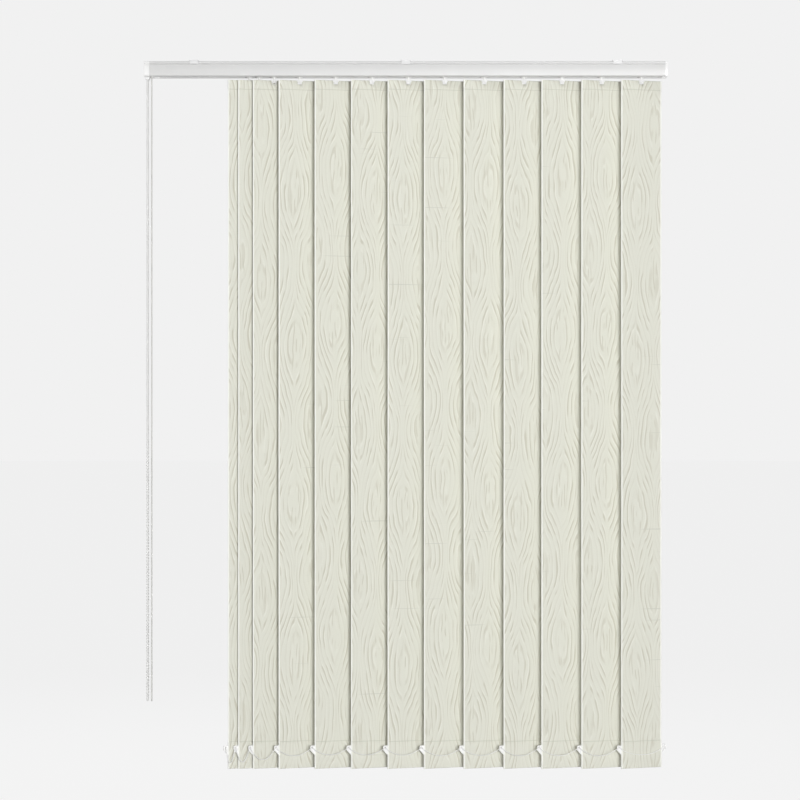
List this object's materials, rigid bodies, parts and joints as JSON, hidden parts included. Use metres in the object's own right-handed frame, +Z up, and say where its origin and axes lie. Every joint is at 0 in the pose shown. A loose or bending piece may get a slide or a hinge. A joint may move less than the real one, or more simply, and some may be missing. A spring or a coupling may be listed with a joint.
{
  "type": "vertical blind",
  "caption": "Vertical blind with fabric louvres hanging from a white headrail, linked by a light bottom chain, drawn by a cord and tilted by a bead chain.",
  "frame": {"origin": "middle of the three fixing brackets' top face, where they meet the lintel or ceiling", "axes": "+X along the headrail towards the end where the louvres stack, -Y towards the room, +Z up"},
  "size_m": [1.047, 0.049, 1.4182],
  "materials": {
    "rail_white": "satin",
    "cap_white": "smooth",
    "bracket_white": "satin",
    "rod_aluminium": "mill",
    "inner_plastic": "moulded",
    "chain_white": "moulded",
    "cord_white": "braided",
    "louvre_fabric": "woven",
    "hook_plastic": "moulded"
  },
  "bodies": {
    "rail": {"headrail": "rail_white", "control_end_cap": "cap_white", "return_end_cap": "cap_white", "brackets": "bracket_white", "control_chain": "chain_white", "pull_cord": "cord_white"},
    "tilt_drive": {"tilt_rod": "rod_aluminium", "chain_sprocket": "inner_plastic"},
    "carrier_01": {"carrier_01": "inner_plastic"},
    "vane_01": {"louvre_01": "louvre_fabric", "fittings_01": "hook_plastic"},
    "link_01": {"chain_01": "chain_white"},
    "carrier_02": {"carrier_02": "inner_plastic"},
    "vane_02": {"louvre_02": "louvre_fabric", "fittings_02": "hook_plastic"},
    "link_02": {"chain_02": "chain_white"},
    "carrier_03": {"carrier_03": "inner_plastic"},
    "vane_03": {"louvre_03": "louvre_fabric", "fittings_03": "hook_plastic"},
    "link_03": {"chain_03": "chain_white"},
    "carrier_04": {"carrier_04": "inner_plastic"},
    "vane_04": {"louvre_04": "louvre_fabric", "fittings_04": "hook_plastic"},
    "link_04": {"chain_04": "chain_white"},
    "carrier_05": {"carrier_05": "inner_plastic"},
    "vane_05": {"louvre_05": "louvre_fabric", "fittings_05": "hook_plastic"},
    "link_05": {"chain_05": "chain_white"},
    "carrier_06": {"carrier_06": "inner_plastic"},
    "vane_06": {"louvre_06": "louvre_fabric", "fittings_06": "hook_plastic"},
    "link_06": {"chain_06": "chain_white"},
    "carrier_07": {"carrier_07": "inner_plastic"},
    "vane_07": {"louvre_07": "louvre_fabric", "fittings_07": "hook_plastic"},
    "link_07": {"chain_07": "chain_white"},
    "carrier_08": {"carrier_08": "inner_plastic"},
    "vane_08": {"louvre_08": "louvre_fabric", "fittings_08": "hook_plastic"},
    "link_08": {"chain_08": "chain_white"},
    "carrier_09": {"carrier_09": "inner_plastic"},
    "vane_09": {"louvre_09": "louvre_fabric", "fittings_09": "hook_plastic"},
    "link_09": {"chain_09": "chain_white"},
    "carrier_10": {"carrier_10": "inner_plastic"},
    "vane_10": {"louvre_10": "louvre_fabric", "fittings_10": "hook_plastic"},
    "link_10": {"chain_10": "chain_white"},
    "carrier_11": {"carrier_11": "inner_plastic"},
    "vane_11": {"louvre_11": "louvre_fabric", "fittings_11": "hook_plastic"},
    "link_11": {"chain_11": "chain_white"},
    "carrier_12": {"carrier_12": "inner_plastic"},
    "vane_12": {"louvre_12": "louvre_fabric", "fittings_12": "hook_plastic"},
    "link_12": {"chain_12": "chain_white"},
    "carrier_13": {"carrier_13": "inner_plastic"},
    "vane_13": {"louvre_13": "louvre_fabric", "fittings_13": "hook_plastic"},
    "link_13": {"chain_13": "chain_white"}
  },
  "joints": [
    {"name": "travel_13", "type": "slide", "parent": "rail", "child": "carrier_13", "axis": [1, 0, 0], "range_m": [0, 0.0265]},
    {"name": "spread_12", "type": "slide", "parent": "carrier_13", "child": "carrier_12", "axis": [-1, 0, 0], "range_m": [-0.0658, 0.0002]},
    {"name": "spread_11", "type": "slide", "parent": "carrier_12", "child": "carrier_11", "axis": [-1, 0, 0], "range_m": [-0.066, 0]},
    {"name": "spread_10", "type": "slide", "parent": "carrier_11", "child": "carrier_10", "axis": [-1, 0, 0], "range_m": [-0.0616, 0.0044]},
    {"name": "spread_09", "type": "slide", "parent": "carrier_10", "child": "carrier_09", "axis": [-1, 0, 0], "range_m": [-0.066, 0]},
    {"name": "spread_08", "type": "slide", "parent": "carrier_09", "child": "carrier_08", "axis": [-1, 0, 0], "range_m": [-0.0654, 0.0006]},
    {"name": "spread_07", "type": "slide", "parent": "carrier_08", "child": "carrier_07", "axis": [-1, 0, 0], "range_m": [-0.0588, 0.0072]},
    {"name": "spread_06", "type": "slide", "parent": "carrier_07", "child": "carrier_06", "axis": [-1, 0, 0], "range_m": [-0.0592, 0.0068]},
    {"name": "spread_05", "type": "slide", "parent": "carrier_06", "child": "carrier_05", "axis": [-1, 0, 0], "range_m": [-0.0588, 0.0072]},
    {"name": "spread_04", "type": "slide", "parent": "carrier_05", "child": "carrier_04", "axis": [-1, 0, 0], "range_m": [-0.0582, 0.0078]},
    {"name": "spread_03", "type": "slide", "parent": "carrier_04", "child": "carrier_03", "axis": [-1, 0, 0], "range_m": [-0.0376, 0.0284]},
    {"name": "spread_02", "type": "slide", "parent": "carrier_03", "child": "carrier_02", "axis": [-1, 0, 0], "range_m": [-0.0154, 0.0506]},
    {"name": "spread_01", "type": "slide", "parent": "carrier_02", "child": "carrier_01", "axis": [-1, 0, 0], "range_m": [-0.0062, 0.0598]},
    {"name": "tilt_13", "type": "hinge", "parent": "carrier_13", "child": "vane_13", "pos_m": [0.4728, 0, 0], "axis": [0, 0, 1], "range_deg": [-5.6, 143.6]},
    {"name": "tilt_12", "type": "hinge", "parent": "carrier_12", "child": "vane_12", "pos_m": [0.393, 0, 0], "axis": [0, 0, 1], "range_deg": [-5.6, 143.6]},
    {"name": "tilt_11", "type": "hinge", "parent": "carrier_11", "child": "vane_11", "pos_m": [0.313, 0, 0], "axis": [0, 0, 1], "range_deg": [-5.6, 143.6]},
    {"name": "tilt_10", "type": "hinge", "parent": "carrier_10", "child": "vane_10", "pos_m": [0.2374, 0, 0], "axis": [0, 0, 1], "range_deg": [-5.6, 143.6]},
    {"name": "tilt_09", "type": "hinge", "parent": "carrier_09", "child": "vane_09", "pos_m": [0.1574, 0, 0], "axis": [0, 0, 1], "range_deg": [-5.6, 143.6]},
    {"name": "tilt_08", "type": "hinge", "parent": "carrier_08", "child": "vane_08", "pos_m": [0.078, 0, 0], "axis": [0, 0, 1], "range_deg": [-5.6, 143.6]},
    {"name": "tilt_07", "type": "hinge", "parent": "carrier_07", "child": "vane_07", "pos_m": [0.0052, 0, 0], "axis": [0, 0, 1], "range_deg": [-5.6, 143.6]},
    {"name": "tilt_06", "type": "hinge", "parent": "carrier_06", "child": "vane_06", "pos_m": [-0.068, 0, 0], "axis": [0, 0, 1], "range_deg": [-5.6, 143.6]},
    {"name": "tilt_05", "type": "hinge", "parent": "carrier_05", "child": "vane_05", "pos_m": [-0.1408, 0, 0], "axis": [0, 0, 1], "range_deg": [-5.6, 143.6]},
    {"name": "tilt_04", "type": "hinge", "parent": "carrier_04", "child": "vane_04", "pos_m": [-0.213, 0, 0], "axis": [0, 0, 1], "range_deg": [-5.6, 143.6]},
    {"name": "tilt_03", "type": "hinge", "parent": "carrier_03", "child": "vane_03", "pos_m": [-0.2646, 0, 0], "axis": [0, 0, 1], "range_deg": [-5.6, 143.6]},
    {"name": "tilt_02", "type": "hinge", "parent": "carrier_02", "child": "vane_02", "pos_m": [-0.294, 0, 0], "axis": [0, 0, 1], "range_deg": [-5.6, 143.6]},
    {"name": "tilt_01", "type": "hinge", "parent": "carrier_01", "child": "vane_01", "pos_m": [-0.3142, 0, 0], "axis": [0, 0, 1], "range_deg": [-5.6, 143.6]},
    {"name": "rod_turn", "type": "hinge", "parent": "rail", "child": "tilt_drive", "pos_m": [0, 0.0085, -0.0161], "axis": [1, 0, 0], "range_deg": [-34, 862]},
    {"name": "link_13_keep", "type": "hinge", "parent": "vane_13", "child": "link_13", "pos_m": [0.42612, -0.01792, -1.3753], "axis": [0, 0, 1], "range_deg": [-143.7, 5.7]},
    {"name": "link_12_span", "type": "slide", "parent": "link_13", "child": "link_12", "axis": [-1, 0, 0], "range_m": [-0.06585, 0.00025], "deforming": ["chain_12"]},
    {"name": "link_11_span", "type": "slide", "parent": "link_12", "child": "link_11", "axis": [-1, 0, 0], "range_m": [-0.06605, 0.00005], "deforming": ["chain_11"]},
    {"name": "link_10_span", "type": "slide", "parent": "link_11", "child": "link_10", "axis": [-1, 0, 0], "range_m": [-0.06165, 0.00445], "deforming": ["chain_10"]},
    {"name": "link_09_span", "type": "slide", "parent": "link_10", "child": "link_09", "axis": [-1, 0, 0], "range_m": [-0.06605, 0.00005], "deforming": ["chain_09"]},
    {"name": "link_08_span", "type": "slide", "parent": "link_09", "child": "link_08", "axis": [-1, 0, 0], "range_m": [-0.06545, 0.00065], "deforming": ["chain_08"]},
    {"name": "link_07_span", "type": "slide", "parent": "link_08", "child": "link_07", "axis": [-1, 0, 0], "range_m": [-0.05885, 0.00725], "deforming": ["chain_07"]},
    {"name": "link_06_span", "type": "slide", "parent": "link_07", "child": "link_06", "axis": [-1, 0, 0], "range_m": [-0.05925, 0.00685], "deforming": ["chain_06"]},
    {"name": "link_05_span", "type": "slide", "parent": "link_06", "child": "link_05", "axis": [-1, 0, 0], "range_m": [-0.05885, 0.00725], "deforming": ["chain_05"]},
    {"name": "link_04_span", "type": "slide", "parent": "link_05", "child": "link_04", "axis": [-1, 0, 0], "range_m": [-0.05825, 0.00785], "deforming": ["chain_04"]},
    {"name": "link_03_span", "type": "slide", "parent": "link_04", "child": "link_03", "axis": [-1, 0, 0], "range_m": [-0.03765, 0.02845], "deforming": ["chain_03"]},
    {"name": "link_02_span", "type": "slide", "parent": "link_03", "child": "link_02", "axis": [-1, 0, 0], "range_m": [-0.01545, 0.05065], "deforming": ["chain_02"]},
    {"name": "link_01_span", "type": "slide", "parent": "link_02", "child": "link_01", "axis": [-1, 0, 0], "range_m": [-0.00625, 0.05985], "deforming": ["chain_01"]}
  ],
  "couplings": [
    {"joint": "tilt_12", "follows": "tilt_13", "ratio": 1},
    {"joint": "tilt_11", "follows": "tilt_13", "ratio": 1},
    {"joint": "tilt_10", "follows": "tilt_13", "ratio": 1},
    {"joint": "tilt_09", "follows": "tilt_13", "ratio": 1},
    {"joint": "tilt_08", "follows": "tilt_13", "ratio": 1},
    {"joint": "tilt_07", "follows": "tilt_13", "ratio": 1},
    {"joint": "tilt_06", "follows": "tilt_13", "ratio": 1},
    {"joint": "tilt_05", "follows": "tilt_13", "ratio": 1},
    {"joint": "tilt_04", "follows": "tilt_13", "ratio": 1},
    {"joint": "tilt_03", "follows": "tilt_13", "ratio": 1},
    {"joint": "tilt_02", "follows": "tilt_13", "ratio": 1},
    {"joint": "tilt_01", "follows": "tilt_13", "ratio": 1},
    {"joint": "rod_turn", "follows": "tilt_13", "ratio": 6},
    {"joint": "link_13_keep", "follows": "tilt_13", "ratio": -1},
    {"joint": "link_12_span", "follows": "spread_12", "ratio": 1},
    {"joint": "link_11_span", "follows": "spread_11", "ratio": 1},
    {"joint": "link_10_span", "follows": "spread_10", "ratio": 1},
    {"joint": "link_09_span", "follows": "spread_09", "ratio": 1},
    {"joint": "link_08_span", "follows": "spread_08", "ratio": 1},
    {"joint": "link_07_span", "follows": "spread_07", "ratio": 1},
    {"joint": "link_06_span", "follows": "spread_06", "ratio": 1},
    {"joint": "link_05_span", "follows": "spread_05", "ratio": 1},
    {"joint": "link_04_span", "follows": "spread_04", "ratio": 1},
    {"joint": "link_03_span", "follows": "spread_03", "ratio": 1},
    {"joint": "link_02_span", "follows": "spread_02", "ratio": 1},
    {"joint": "link_01_span", "follows": "spread_01", "ratio": 1}
  ]
}
